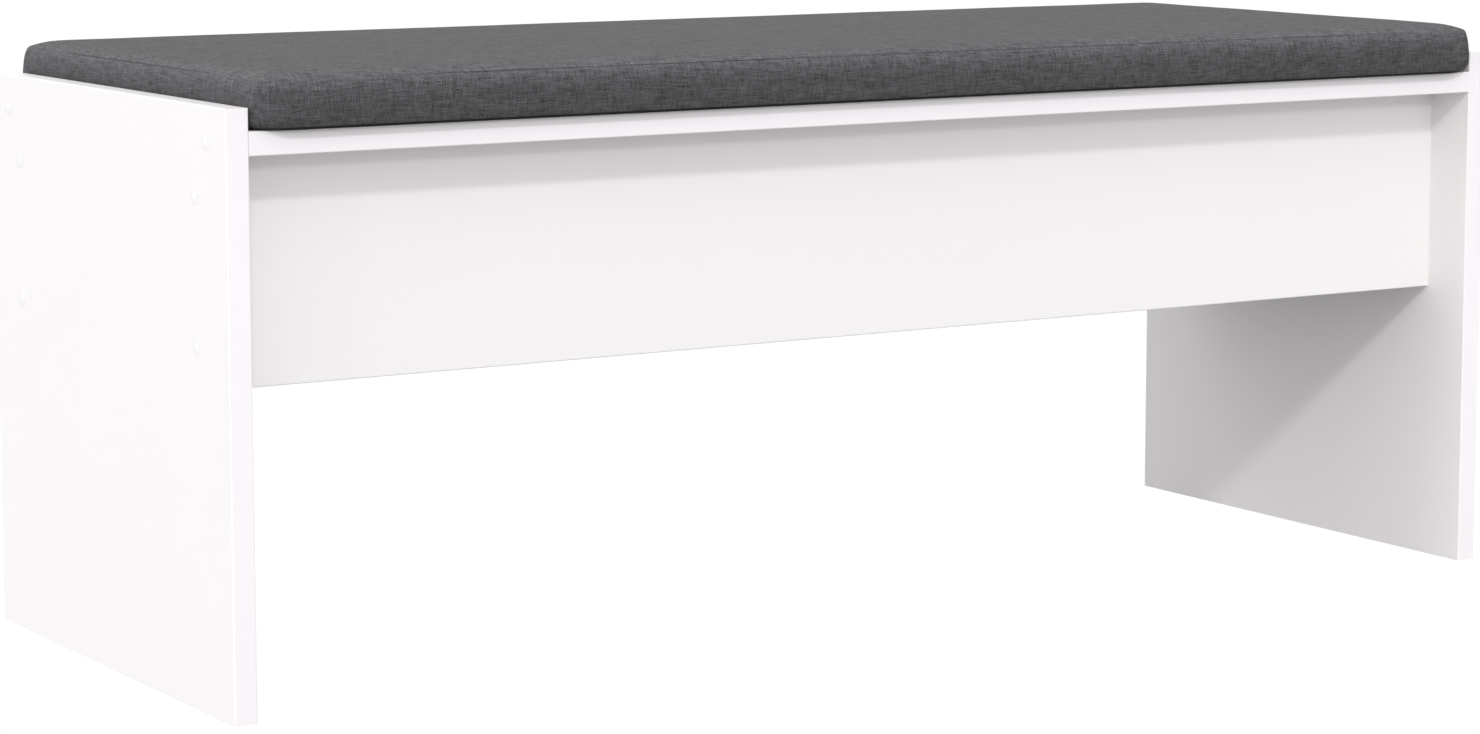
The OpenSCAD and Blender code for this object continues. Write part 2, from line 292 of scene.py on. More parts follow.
# Edging
# Plastic strips, 1 mm thick, glued to every edge that shows and rounded over at both sides.
# A little smoother and cooler in colour than the faces of the boards.
EDGING = (0.865, 0.835, 0.862, 1)
EDGING_SHADE = (0.845, 0.815, 0.842, 1)
EDGING_ROUGHNESS = (0.30, 0.38)
EDGING_IOR = 1.5
EDGING_CLOUD_SIZE = 0.12
EDGING_PEARL_SIZE = 0.0007
EDGING_PEARL_DEPTH = 0.00001
EDGING_PEARL_STRENGTH = 0.4

edging, tree = new_material("white_plastic_edging")
surface = add(tree, "ShaderNodeGroup", {"Cloud Size": EDGING_CLOUD_SIZE,
                                        "Pearl Size": EDGING_PEARL_SIZE},
              node_tree=pressed_surface)
finish_material(tree, {
    "Base Color": mix_colours(tree, surface.outputs["Cloud"], EDGING_SHADE, EDGING),
    "Roughness": spread(tree, surface.outputs["Cloud"], *EDGING_ROUGHNESS),
    "IOR": EDGING_IOR,
    "Normal": bump(tree, surface.outputs["Pearl"], EDGING_PEARL_DEPTH, EDGING_PEARL_STRENGTH)})
give(["left_panel_edging", "right_panel_edging", "seat_edging", "front_apron_edging",
      "rear_apron_edging"], edging)

# Screw caps
# Thin domed covers of white plastic, pressed into the sockets of the screws on the outer
# faces of the side panels, so far that their heads lie almost flush and nearly vanish.
CAP_RIM = 0.0004
CAP_HEIGHT = 0.0010
PRESSED_RIM = 0.0001
PRESSED_HEIGHT = 0.0004
SAME_POINT = 1e-6
SHARP_EDGE_DEGREES = 30
CAP_WHITE = (0.799, 0.781, 0.782, 1)
CAP_SHADE = (0.789, 0.771, 0.772, 1)
CAP_ROUGHNESS = (0.50, 0.58)
CAP_IOR = 1.46
CAP_CLOUD_SIZE = 0.01
CAP_PEARL_SIZE = 0.0004


def pressed_caps(node, name):
    """The caps of one end of the bench, with their heads pressed close to the panel."""
    panel_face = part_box("right_side_panel")[1].x
    heads = bmesh.new()
    heads.from_mesh(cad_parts[node].data)
    bmesh.ops.remove_doubles(heads, verts=heads.verts, dist=SAME_POINT)
    for vert in heads.verts:
        proud = abs(vert.co.x) - panel_face
        if proud > 0:
            in_rim, in_dome = min(proud, CAP_RIM), max(proud - CAP_RIM, 0)
            pressed = (in_rim * PRESSED_RIM / CAP_RIM
                       + in_dome * (PRESSED_HEIGHT - PRESSED_RIM) / (CAP_HEIGHT - CAP_RIM))
            vert.co.x = math.copysign(panel_face + pressed, vert.co.x)
    piece = object_of(name, heads)
    piece.data.shade_smooth()
    piece.data.set_sharp_from_angle(angle=math.radians(SHARP_EDGE_DEGREES))
    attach(piece, "bench")
    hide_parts(node)
    return piece


caps, tree = new_material("white_plastic_cap")
surface = add(tree, "ShaderNodeGroup", {"Cloud Size": CAP_CLOUD_SIZE,
                                        "Pearl Size": CAP_PEARL_SIZE},
              node_tree=pressed_surface)
finish_material(tree, {
    "Base Color": mix_colours(tree, surface.outputs["Cloud"], CAP_SHADE, CAP_WHITE),
    "Roughness": spread(tree, surface.outputs["Pearl"], *CAP_ROUGHNESS),
    "IOR": CAP_IOR})
for node, name in (("left_screw_caps", "left_caps"), ("right_screw_caps", "right_caps")):
    pressed_caps(node, name).data.materials.append(caps)

# Screws
# One-piece connecting screws of zinc plated steel, through the side panels into the ends of
# the seat board and aprons. Only a bench taken apart shows them.
ZINC_DARK = (0.50, 0.50, 0.48, 1)
ZINC_LIGHT = (0.72, 0.72, 0.70, 1)
ZINC_ROUGHNESS = (0.25, 0.45)
SCREW_SPANGLE = 0.0011
TURNING_SCALE = 260.0
TURNING_WOBBLE = 0.4
TURNING_DEPTH = 0.0002
TURNING_STRENGTH = 0.6


def zinc_surface_group():
    """Colour and roughness of bare plated zinc with its faint crystal spangle."""
    group, given = new_group("zinc_surface", {"Spangle Size": NUMBER},
                             {"Colour": COLOUR, "Roughness": NUMBER})
    spangle = add(group, "ShaderNodeTexNoise", {
        "Vector": place_on_piece(group), "Detail": 3.0,
        "Scale": calc(group, "DIVIDE", 1.0, given["Spangle Size"])}).outputs["Fac"]
    add(group, "NodeGroupOutput", {
        "Colour": mix_colours(group, spangle, ZINC_DARK, ZINC_LIGHT),
        "Roughness": spread(group, spangle, *ZINC_ROUGHNESS)})
    return group


zinc_surface = zinc_surface_group()
zinc, tree = new_material("zinc_plated_steel")
surface = add(tree, "ShaderNodeGroup", {"Spangle Size": SCREW_SPANGLE}, node_tree=zinc_surface)
turned = add(tree, "ShaderNodeTexWave", {"Vector": place_on_piece(tree), "Scale": TURNING_SCALE,
                                         "Distortion": TURNING_WOBBLE}, bands_direction="X")
finish_material(tree, {
    "Base Color": surface.outputs["Colour"],
    "Metallic": 1.0,
    "Roughness": surface.outputs["Roughness"],
    "Normal": bump(tree, turned.outputs["Fac"], TURNING_DEPTH, TURNING_STRENGTH)})
give(["left_screws", "right_screws"], zinc)

# Dowels
# Pins of raw beech with chamfered ends, glued into the boards. Hidden in the finished bench.
BEECH_DARK = (0.42, 0.25, 0.13, 1)
BEECH_LIGHT = (0.72, 0.50, 0.31, 1)
BEECH_ROUGHNESS = 0.62
GRAIN_SCALE = (120.0, 900.0, 900.0)
GRAIN_DEPTH = 0.00015
GRAIN_STRENGTH = 0.5

beech, tree = new_material("raw_beech")
along = add(tree, "ShaderNodeMapping", {"Vector": place_on_piece(tree), "Scale": GRAIN_SCALE})
grain = add(tree, "ShaderNodeTexNoise", {"Vector": along.outputs[0], "Scale": 1.0,
                                         "Detail": 5.0, "Roughness": 0.65}).outputs["Fac"]
finish_material(tree, {
    "Base Color": mix_colours(tree, grain, BEECH_DARK, BEECH_LIGHT),
    "Roughness": BEECH_ROUGHNESS,
    "Normal": bump(tree, grain, GRAIN_DEPTH, GRAIN_STRENGTH)})
give(["seat_end_dowels", "apron_end_dowels", "seat_to_apron_dowels"], beech)

# Cushion cover
# A boxed cover of dark grey melange plain weave: a top and a bottom panel sewn to a side band,
# filled tight by its foam. It is cut here as flat panels and blown up as cloth.
TOP_SEAM_BEHIND = 0.0045
BOTTOM_SEAM_BEHIND = 0.003
SIDE_DRAW = 0.0012
TOP_CORNER = 0.010
BAND_CORNER = 0.016
BOTTOM_CORNER = 0.029
TOP_CELLS = (150, 60)
BAND_CUTS = 9
EDGE_CROWDING = 0.084
EDGE_POWER = 9
FIRST_CORNER = 3 * math.pi / 4 - 1e-4  # back left, less a little, so that it sorts first
WEAVE_START = 2.0
BOTTOM, TOP, BAND = 1, 2, 3

band_low, band_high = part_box("cushion_side_band")
band_low.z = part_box("cushion_bottom_panel")[0].z
band_h = band_high.z - band_low.z
cover_middle = Vector(((band_low.x + band_high.x) / 2, (band_low.y + band_high.y) / 2, 0))
cover_half = Vector(((band_high.x - band_low.x) / 2, (band_high.y - band_low.y) / 2, 0))


def crowd(t):
    """Moves evenly spaced cutting lines towards the edges of a panel."""
    return t * (1 + EDGE_CROWDING) - EDGE_CROWDING * math.copysign(abs(t) ** EDGE_POWER, t)


def panel_place(cell, behind, radius):
    """Where a point of a square from -1 to 1 lies on a panel with that seam and corner."""
    half_x, half_y = cover_half.x - behind, cover_half.y - behind
    x, y = crowd(cell.x) * half_x, crowd(cell.y) * half_y
    over_x = (abs(x) - (half_x - radius)) / radius
    over_y = (abs(y) - (half_y - radius)) / radius
    if over_x > 0 and over_y > 0:
        x = math.copysign(half_x - radius
                          + radius * over_x * math.sqrt(1 - over_y ** 2 / 2), x)
        y = math.copysign(half_y - radius
                          + radius * over_y * math.sqrt(1 - over_x ** 2 / 2), y)
    draw_y = SIDE_DRAW * math.cos(math.pi / 2 * min(abs(x) / (half_x - radius), 1))
    draw_x = SIDE_DRAW * math.cos(math.pi / 2 * min(abs(y) / (half_y - radius), 1))
    return Vector((x * (1 - draw_x / half_x) + cover_middle.x,
                   y * (1 - draw_y / half_y) + cover_middle.y, 0))


def verts_in(geom):
    """The vertices in what an operator gives back."""
    return [g for g in geom if isinstance(g, bmesh.types.BMVert)]


def faces_in(geom):
    """The faces in what an operator gives back."""
    return [g for g in geom if isinstance(g, bmesh.types.BMFace)]


cover = bmesh.new()
panel_of = cover.faces.layers.int.new("panel")
around = cover.verts.layers.float.new("around")
bmesh.ops.create_grid(cover, x_segments=TOP_CELLS[0], y_segments=TOP_CELLS[1], size=1.0)
rim = sorted((v for v in cover.verts if v.is_boundary),
             key=lambda v: (math.atan2(v.co.y, v.co.x) - FIRST_CORNER) % (2 * math.pi))
seam_length = 0.0
for vert, following in zip(rim, rim[1:] + rim[:1]):
    vert[around] = seam_length
    seam_length += (panel_place(following.co, TOP_SEAM_BEHIND, TOP_CORNER)
                    - panel_place(vert.co, TOP_SEAM_BEHIND, TOP_CORNER)).length
lower = bmesh.ops.duplicate(cover, geom=cover.verts[:] + cover.edges[:] + cover.faces[:])["geom"]
lower_verts, lower_faces = set(verts_in(lower)), set(faces_in(lower))
for vert in cover.verts:
    if vert in lower_verts:
        vert.co = panel_place(vert.co, BOTTOM_SEAM_BEHIND, BOTTOM_CORNER)
        vert.co.z = band_low.z
    else:
        vert.co = panel_place(vert.co, TOP_SEAM_BEHIND, TOP_CORNER)
        vert.co.z = band_high.z
for panel in cover.faces:
    panel[panel_of] = BOTTOM if panel in lower_faces else TOP
bmesh.ops.reverse_faces(cover, faces=faces_in(lower))
rims = [e for e in cover.edges if e.is_boundary]
for wall in bmesh.ops.bridge_loops(cover, edges=rims)["faces"]:
    wall[panel_of] = BAND
uprights = [e for e in cover.edges if abs(e.verts[0].co.z - e.verts[1].co.z) > band_h / 2]
bmesh.ops.subdivide_edges(cover, edges=uprights, cuts=BAND_CUTS, use_grid_fill=True)
bmesh.ops.recalc_face_normals(cover, faces=cover.faces)

# The weave lies straight on the two panels and runs round the seam on the band
weave_map = cover.loops.layers.uv.new("weave")
for panel in cover.faces:
    lengths = [v[around] for v in panel.verts]
    wraps = max(lengths) - min(lengths) > seam_length / 2
    for loop in panel.loops:
        along = loop.vert[around]
        if panel[panel_of] != BAND:
            loop[weave_map].uv = (loop.vert.co.x + WEAVE_START, loop.vert.co.y + WEAVE_START)
        elif wraps and along < seam_length / 2:
            loop[weave_map].uv = (along + seam_length, loop.vert.co.z)
        else:
            loop[weave_map].uv = (along, loop.vert.co.z)

cover.verts.index_update()
seam_verts = {v.index for e in cover.edges if len({f[panel_of] for f in e.link_faces}) == 2
              for v in e.verts}
bottom_verts = {v.index for f in cover.faces if f[panel_of] == BOTTOM for v in f.verts}
top_verts = {v.index for f in cover.faces if f[panel_of] == TOP for v in f.verts}
cushion_cover = object_of("cushion_cover", cover)
cover_mesh = cushion_cover.data

# It is blown up with the bottom panel and the seams held
CLOTH_FRAMES = 20
CLOTH_SETTINGS = {
    "quality": 5,
    "mass": 0.3,
    "tension_stiffness": 15,
    "compression_stiffness": 15,
    "shear_stiffness": 5,
    "bending_stiffness": 0.5,
    "use_pressure": True,
    "uniform_pressure_force": 5.0,
}


def blow_up(piece, held):
    """Inflates a sewn cover as cloth and returns where each of its points ends up."""
    grip = piece.vertex_groups.new(name="held")
    for index in held:
        grip.add([index], 1.0, "REPLACE")
    cloth = piece.modifiers.new("blown_up", "CLOTH")
    for setting, value in CLOTH_SETTINGS.items():
        setattr(cloth.settings, setting, value)
    cloth.settings.vertex_group_mass = grip.name
    cloth.settings.effector_weights.gravity = 0.0
    cloth.collision_settings.use_collision = False
    cloth.point_cache.frame_start = 1
    cloth.point_cache.frame_end = CLOTH_FRAMES
    for number in range(1, CLOTH_FRAMES + 1):
        scene.frame_set(number)
    blown = piece.evaluated_get(bpy.context.evaluated_depsgraph_get()).to_mesh()
    places = [v.co.copy() for v in blown.vertices]
    piece.modifiers.remove(cloth)
    piece.vertex_groups.remove(grip)
    scene.frame_set(1)
    return places


# The foam stops the cloth at its own form: rounded off above the top seam, lightly crowned in
# the middle, and on the band fullest in the lower half and curving in towards both seams
TOP_RISE = 0.005
TOP_ROUND = 0.022
TOP_CROWN = 0.002
CORNER_LEAN = 0.0045
UPPER_FROM = 0.45
UPPER_CURVE = 2.8
UPPER_LEAN_CURVE = 0.6
UPPER_CORNER_CURVE = 3
LOWER_BELOW = 0.3
LOWER_CURVE = 3
LOWER_CORNER_BELOW = 0.19
LOWER_CORNER_CURVE = 1.6
FILLED = 20.0
LEAST_SWELL = 0.0006
NO_ROOM = 1e-5


def side_distance(place):
    """How far a point of the cover lies inside the cushion's outline in plan."""
    return min(cover_half.x - abs(place.x - cover_middle.x),
               cover_half.y - abs(place.y - cover_middle.y))


def top_room(place):
    """How far above its seam the foam lets the top panel rise."""
    inside = max(side_distance(place) - TOP_SEAM_BEHIND, 0.0)
    rounding = 1 - min(inside / TOP_ROUND, 1)
    crowning = 1 - min(inside / cover_half.y, 1)
    return TOP_RISE * (1 - rounding ** 2) + TOP_CROWN * (1 - crowning ** 2)


def band_room(place, facing):
    """How far the foam lets the band stand out from the straight line between its seams."""
    t = (place.z - band_low.z) / band_h
    across = (abs(facing.x) + abs(facing.y)) / facing.xy.length
    top_corner = (across - 1) * (TOP_CORNER - BAND_CORNER)
    bottom_corner = (across - 1) * (BOTTOM_CORNER - BAND_CORNER)
    lean = (across - 1) * CORNER_LEAN
    line = (t * (across * TOP_SEAM_BEHIND + top_corner)
            + (1 - t) * (across * BOTTOM_SEAM_BEHIND + bottom_corner))
    upper = max((t - UPPER_FROM) / (1 - UPPER_FROM), 0)
    lower = max((LOWER_BELOW - t) / LOWER_BELOW, 0)
    lower_corner = max((LOWER_CORNER_BELOW - t) / LOWER_CORNER_BELOW, 0)
    behind = (across * TOP_SEAM_BEHIND * upper ** UPPER_CURVE
              + lean * upper ** UPPER_LEAN_CURVE
              + (top_corner - lean) * upper ** UPPER_CORNER_CURVE
              + across * BOTTOM_SEAM_BEHIND * lower ** LOWER_CURVE
              + bottom_corner * lower_corner ** LOWER_CORNER_CURVE)
    return max(line - behind, 0.0)


normals = [n.vector.copy() for n in cover_mesh.vertex_normals]
places = None
places = blow_up(cushion_cover, bottom_verts | seam_verts)
for vert in cover_mesh.vertices:
    if vert.index in bottom_verts or vert.index in seam_verts:
        continue
    outward, room = Vector((0, 0, 1)), top_room(vert.co)
    if vert.index not in top_verts:
        outward = (normals[vert.index] * Vector((1, 1, 0))).normalized()
        room = band_room(vert.co, outward)
    if room < NO_ROOM:
        continue
    swell = (places[vert.index] - vert.co).length if places else room
    vert.co += outward * room * math.tanh(FILLED * max(swell, LEAST_SWELL) / room)

# Sewing pulls the upper seam into a shallow groove and puckers the cloth beside it, and the
# upper corners droop a little. The lower seam is a fold that lies on the seat
CORNER_DROOP = 0.0015
DROOP_REACH = 0.024
SEAM_DEPTH = 0.0004
PUCKER_HEIGHT = 0.00035
PUCKER_REACH = 0.018
PUCKERS_PER_METRE = 70
SLACK_HEIGHT = 0.00025
SLACKS_PER_METRE = 11
SLACK_START = Vector((0, 0, 5))
# The seam marks set where the cloth is painted near-black as painted shade: a thin line along the
# top seam's groove, which varies a little and fades near the corners, and a wider band at the
# lower seam, painted contact shadow where the cushion sits on the seat
TOP_SEAM_PAINTED_SHADE = 0.90
TOP_SEAM_VARIES = 0.08
MARKS_PER_METRE = 9
TOP_SEAM_FADES = 0.20
FADE_REACH = 0.085
BOTTOM_SEAM_PAINTED_SHADE = 1.75
painted_seam_shade = cover_mesh.attributes.new("seam", "FLOAT", "POINT")
normals = [n.vector.copy() for n in cover_mesh.vertex_normals]
for vert in cover_mesh.vertices:
    sewn = vert.index in seam_verts
    from_corner = math.hypot(cover_half.x - abs(vert.co.x - cover_middle.x),
                             cover_half.y - abs(vert.co.y - cover_middle.y))
    mark = 0.0
    if vert.index in bottom_verts and sewn:
        mark = BOTTOM_SEAM_PAINTED_SHADE
    elif sewn:
        mark = (TOP_SEAM_PAINTED_SHADE + TOP_SEAM_VARIES * noise.noise(vert.co * MARKS_PER_METRE)
                - TOP_SEAM_FADES * math.exp(-(from_corner / FADE_REACH) ** 2))
    painted_seam_shade.data[vert.index].value = mark
    if sewn and vert.index in top_verts:
        vert.co -= normals[vert.index] * SEAM_DEPTH
    elif vert.index not in bottom_verts:
        reach = max(side_distance(vert.co), 0) if vert.index in top_verts else 0.0
        pucker = (noise.noise(vert.co * PUCKERS_PER_METRE) * PUCKER_HEIGHT
                  * math.exp(-reach / PUCKER_REACH))
        slack = noise.noise(vert.co * SLACKS_PER_METRE + SLACK_START) * SLACK_HEIGHT
        vert.co += normals[vert.index] * (pucker + slack)
    height = min(max((vert.co.z - band_low.z) / band_h, 0), 1)
    vert.co.z -= CORNER_DROOP * height ** 2 * math.exp(-(from_corner / DROOP_REACH) ** 2)
for panel in cover_mesh.polygons:
    panel.use_smooth = True
fold = cover_mesh.attributes.new("crease_edge", "FLOAT", "EDGE")
for edge in cover_mesh.edges:
    if all(i in bottom_verts and i in seam_verts for i in edge.vertices):
        fold.data[edge.index].value = 1.0

# Painted light: the cloth's colour is made paler the more it faces up, most over the foam's
# rounded upper edge and on the top, where light from above falls on it
TOP_PAINTED_LIGHT = 0.35
EDGE_PAINTED_LIGHT = 0.45
painted_top_light = cover_mesh.attributes.new("painted_top_light", "FLOAT", "POINT")
for mark, normal in zip(painted_top_light.data, cover_mesh.vertex_normals):
    tilt = math.asin(min(max(normal.vector.z, 0.0), 1.0))
    mark.value = TOP_PAINTED_LIGHT * tilt / (math.pi / 2) + EDGE_PAINTED_LIGHT * math.sin(2 * tilt)
smooth = cushion_cover.modifiers.new("even_cloth", "SUBSURF")
smooth.levels = smooth.render_levels = 1

# The cloth is woven of spun yarns, dark and pale mixed along each, with fine loose fibres
YARN_PITCH = 0.0011
SLUB_LENGTH = 0.009
WEFT_SLUB_LONGER = 1.9
YARN_LEVEL = 0.45
YARN_WAVE = 0.55
YARN_STRIDE = 7.31
WARP_SEED, WEFT_SEED = 3.0, 57.0
FLUFF_SCALE = 3200.0
YARN_DEPTH = 0.00022
YARN_STRENGTH = 0.8
YARN_DARK = (0.0210, 0.0208, 0.0220, 1)
YARN_LIGHT = (0.108, 0.1075, 0.113, 1)
YARN_CONTRAST = (0.28, 0.72)
FLECK = 0.24
PATCH_SCALE = 28.0
PATCH_TONES = (0.96, 1.04)
PATCH_CONTRAST = (0.3, 0.7)
# Near-black colour of the painted shade along the seams
PAINTED_SEAM_SHADE = (0.011, 0.011, 0.0115, 1)
PAINTED_SEAM_SHADE_RANGE = (0.72, 0.98)
CLOTH_ROUGHNESS = (0.82, 0.95)
CLOTH_SPECULAR = 0.2
CLOTH_SHEEN = 0.02
CLOTH_SHEEN_ROUGHNESS = 0.45


def plain_weave_group():
    """Plain weave on a flat place in metres: height of the yarns, shade of each yarn, fluff."""
    group, given = new_group(
        "plain_weave", {"Place": VECTOR, "Pitch": NUMBER, "Slub Length": NUMBER},
        {"Height": NUMBER, "Yarn": NUMBER, "Fluff": NUMBER})
    pitch, slub = given["Pitch"], given["Slub Length"]
    flat = add(group, "ShaderNodeSeparateXYZ", {0: given["Place"]})
    u, v = (calc(group, "DIVIDE", flat.outputs[axis], pitch) for axis in "XY")
    warp_number, weft_number = (calc(group, "FLOOR", t) for t in (u, v))
    across_warp, across_weft = (
        calc(group, "SUBTRACT", calc(group, "FRACT", t), 0.5) for t in (u, v))
    round_warp, round_weft = (
        calc(group, "MULTIPLY_ADD", calc(group, "MULTIPLY", t, t), -4.0, 1.0)
        for t in (across_warp, across_weft))
    warp_on_top = calc(group, "FLOORED_MODULO", calc(group, "ADD", warp_number, weft_number), 2.0)
    warp_height, weft_height = (
        calc(group, "MULTIPLY", calc(group, "SQRT", own),
             calc(group, "MULTIPLY_ADD", crossing, YARN_WAVE, YARN_LEVEL))
        for own, crossing in ((round_warp, round_weft), (round_weft, round_warp)))
    weft_slub = calc(group, "MULTIPLY", slub, WEFT_SLUB_LONGER)
    shades = []
    for number, along, length, seed in ((warp_number, flat.outputs["Y"], slub, WARP_SEED),
                                        (weft_number, flat.outputs["X"], weft_slub, WEFT_SEED)):
        where = add(group, "ShaderNodeCombineXYZ", {
            0: calc(group, "MULTIPLY", number, YARN_STRIDE),
            1: calc(group, "DIVIDE", along, length), 2: seed})
        shades.append(add(group, "ShaderNodeTexNoise", {
            "Vector": where.outputs[0], "Scale": 1.0, "Detail": 2.0,
            "Roughness": 0.55}).outputs["Fac"])
    fluff = add(group, "ShaderNodeTexNoise", {"Vector": given["Place"], "Scale": FLUFF_SCALE,
                                              "Detail": 3.0})
    add(group, "NodeGroupOutput", {
        "Height": mix(group, warp_on_top, weft_height, warp_height),
        "Yarn": mix(group, warp_on_top, shades[1], shades[0]),
        "Fluff": fluff.outputs["Fac"]})
    return group


plain_weave = plain_weave_group()
grey_cloth, tree = new_material("grey_melange_weave")
uv = add(tree, "ShaderNodeUVMap", uv_map="weave")
weave = add(tree, "ShaderNodeGroup", {"Place": uv.outputs[0], "Pitch": YARN_PITCH,
                                      "Slub Length": SLUB_LENGTH}, node_tree=plain_weave)
shade = spread(tree, weave.outputs["Yarn"], 0.0, 1.0, *YARN_CONTRAST)
fleck = calc(tree, "MULTIPLY_ADD", weave.outputs["Fluff"], FLECK, -FLECK / 2)
light = add(tree, "ShaderNodeMath", {0: shade, 1: fleck}, operation="ADD", use_clamp=True)
yarn = mix_colours(tree, light.outputs[0], YARN_DARK, YARN_LIGHT)
patches = add(tree, "ShaderNodeTexNoise", {"Vector": place_on_piece(tree), "Scale": PATCH_SCALE,
                                           "Detail": 3.0})
patch = spread(tree, patches.outputs["Fac"], *PATCH_TONES, *PATCH_CONTRAST)
# Painted light: the colour is raised where the cloth faces up, on top of slow random patches of
# tone
painted_top_light = add(tree, "ShaderNodeAttribute", attribute_name="painted_top_light")
patch_and_painted_light = calc(tree, "MULTIPLY", patch, calc(tree, "ADD", painted_top_light.outputs["Fac"], 1.0))
cloth_with_patches_and_painted_light = add(tree, "ShaderNodeMix", {0: 1.0, 6: yarn, 7: patch_and_painted_light}, data_type="RGBA",
           blend_type="MULTIPLY")
# Painted shade along the seams: the marks turn the cloth near-black in the top seam's groove and
# at the foot where the cushion meets the seat
seam = add(tree, "ShaderNodeAttribute", attribute_name="seam")
painted_seam_shade_share = spread(tree, seam.outputs["Fac"], 0.0, 1.0, *PAINTED_SEAM_SHADE_RANGE)
finish_material(tree, {
    "Base Color": mix_colours(tree, painted_seam_shade_share, cloth_with_patches_and_painted_light.outputs[2], PAINTED_SEAM_SHADE),
    "Roughness": spread(tree, weave.outputs["Fluff"], *CLOTH_ROUGHNESS),
    "Normal": bump(tree, weave.outputs["Height"], YARN_DEPTH, YARN_STRENGTH),
    "Specular IOR Level": CLOTH_SPECULAR,
    "Sheen Weight": CLOTH_SHEEN,
    "Sheen Roughness": CLOTH_SHEEN_ROUGHNESS,
    "Sheen Tint": WHITE})
cover_mesh.materials.append(grey_cloth)

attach(cushion_cover, "cushion")
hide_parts("cushion_top_panel", "cushion_side_band", "cushion_bottom_panel")

# Cushion foam
# The slab that fills the cover: cut block foam, a little smaller than the cover all round.
# Only an opened zip shows it.
FOAM_INSIDE_COVER = 0.0017
FOAM_DARK = (0.80, 0.75, 0.56, 1)
FOAM_LIGHT = (0.86, 0.82, 0.66, 1)
FOAM_ROUGHNESS = 0.95
FOAM_CLOUD_SCALE = 9.0
CELL_SCALE = 1100.0
CELL_DEPTH = 0.0004
CELL_STRENGTH = 0.8

foam_mesh = cover_mesh.copy()
foam_mesh.name = "cushion_foam_slab"
foam_mesh.materials.clear()
foam_mesh.uv_layers.remove(foam_mesh.uv_layers["weave"])
for name in ("seam", "painted_top_light", "crease_edge"):
    foam_mesh.attributes.remove(foam_mesh.attributes[name])
normals = [n.vector.copy() for n in foam_mesh.vertex_normals]
for vert in foam_mesh.vertices:
    vert.co -= normals[vert.index] * FOAM_INSIDE_COVER
cushion_foam_slab = add_object("cushion_foam_slab", foam_mesh)
block_foam, tree = new_material("block_foam")
place = place_on_piece(tree)
cells = add(tree, "ShaderNodeTexVoronoi", {"Vector": place, "Scale": CELL_SCALE})
clouds = add(tree, "ShaderNodeTexNoise", {"Vector": place, "Scale": FOAM_CLOUD_SCALE})
finish_material(tree, {
    "Base Color": mix_colours(tree, clouds.outputs["Fac"], FOAM_DARK, FOAM_LIGHT),
    "Roughness": FOAM_ROUGHNESS,
    "Normal": bump(tree, cells.outputs["Distance"], CELL_DEPTH, CELL_STRENGTH)})
foam_mesh.materials.append(block_foam)
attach(cushion_foam_slab, "cushion")
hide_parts("cushion_foam")

# Zip
# A black coil zip along the back of the cover's band, from corner to corner: a thin woven tape,
# stitched down along both edges, with the nylon coil along its middle.
TAPE_CELLS = (160, 8)
TAPE_THICKNESS = 0.0004
TAPE_PROUD = 0.00045
TAPE_YARN = 0.00042
TAPE_SLUB = 0.02
TAPE_DARK = (0.006, 0.006, 0.006, 1)
TAPE_LIGHT = (0.022, 0.022, 0.023, 1)
TAPE_ROUGHNESS = 0.8
TAPE_DEPTH = 0.00018
TAPE_STRENGTH = 0.8
WEAVE_SHARE_OF_DEPTH = 0.5
STITCH_PITCH = 0.0032
STITCH_SHARE_OF_PITCH = 0.78
STITCH_INSET = 0.0012
THREAD_HALF = 0.00028
THREAD_GREY = (0.045, 0.045, 0.047, 1)
COIL_PITCH = 0.0015
COIL_BAR = (0.0010, 0.0007, 0.0040)
COIL_BAR_ROUND = 0.00022
COIL_PROUD = 0.0006
COIL_STAGGER = 0.00035
COIL_END_GAP = 0.010
COIL_DARK = (0.008, 0.008, 0.009, 1)
COIL_LIGHT = (0.020, 0.020, 0.021, 1)
COIL_ROUGHNESS = (0.28, 0.42)
COIL_HAZE_SCALE = 600.0
FAR_BEHIND = 0.05

zip_low, zip_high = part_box("cushion_zip")
zip_middle = (zip_low + zip_high) / 2
zip_half = (zip_high - zip_low) / 2
band_form = BVHTree.FromPolygons([v.co for v in cover_mesh.vertices],
                                 [p.vertices[:] for p in cover_mesh.polygons])


def back_of_band(x, z):
    """The y of the cover's back at that place."""
    return band_form.ray_cast(Vector((x, zip_high.y + FAR_BEHIND, z)), Vector((0, -1, 0)))[0].y


def round_edges(mesh, edges, offset, segments):
    """Bevels those edges of a piece."""
    bmesh.ops.bevel(mesh, geom=edges, offset=offset, segments=segments, profile=0.5,
                    material=-1, affect="EDGES", clamp_overlap=True)


zip_strip = bmesh.new()
bmesh.ops.create_grid(zip_strip, x_segments=TAPE_CELLS[0], y_segments=TAPE_CELLS[1], size=1.0)
for vert in zip_strip.verts:
    x = zip_middle.x + vert.co.x * zip_half.x
    z = zip_middle.z + vert.co.y * zip_half.z
    vert.co = (x, back_of_band(x, z) + TAPE_PROUD, z)
if sum(f.normal.y for f in zip_strip.faces) < 0:
    bmesh.ops.reverse_faces(zip_strip, faces=zip_strip.faces)
bmesh.ops.solidify(zip_strip, geom=zip_strip.faces[:], thickness=TAPE_THICKNESS)
bmesh.ops.recalc_face_normals(zip_strip, faces=zip_strip.faces)
tape_faces = set(zip_strip.faces)
bar_verts = bmesh.ops.create_cube(zip_strip, size=1.0)["verts"]
bmesh.ops.scale(zip_strip, verts=bar_verts, vec=COIL_BAR)
bar_edges = [e for e in zip_strip.edges if e.verts[0] in bar_verts and e.verts[1] in bar_verts]
round_edges(zip_strip, bar_edges, COIL_BAR_ROUND, 1)
bar_faces = [f for f in zip_strip.faces if f not in tape_faces]
for panel in bar_faces:
    panel.material_index = 1
bar = list(dict.fromkeys(g for f in bar_faces for g in (*f.verts, *f.edges))) + bar_faces
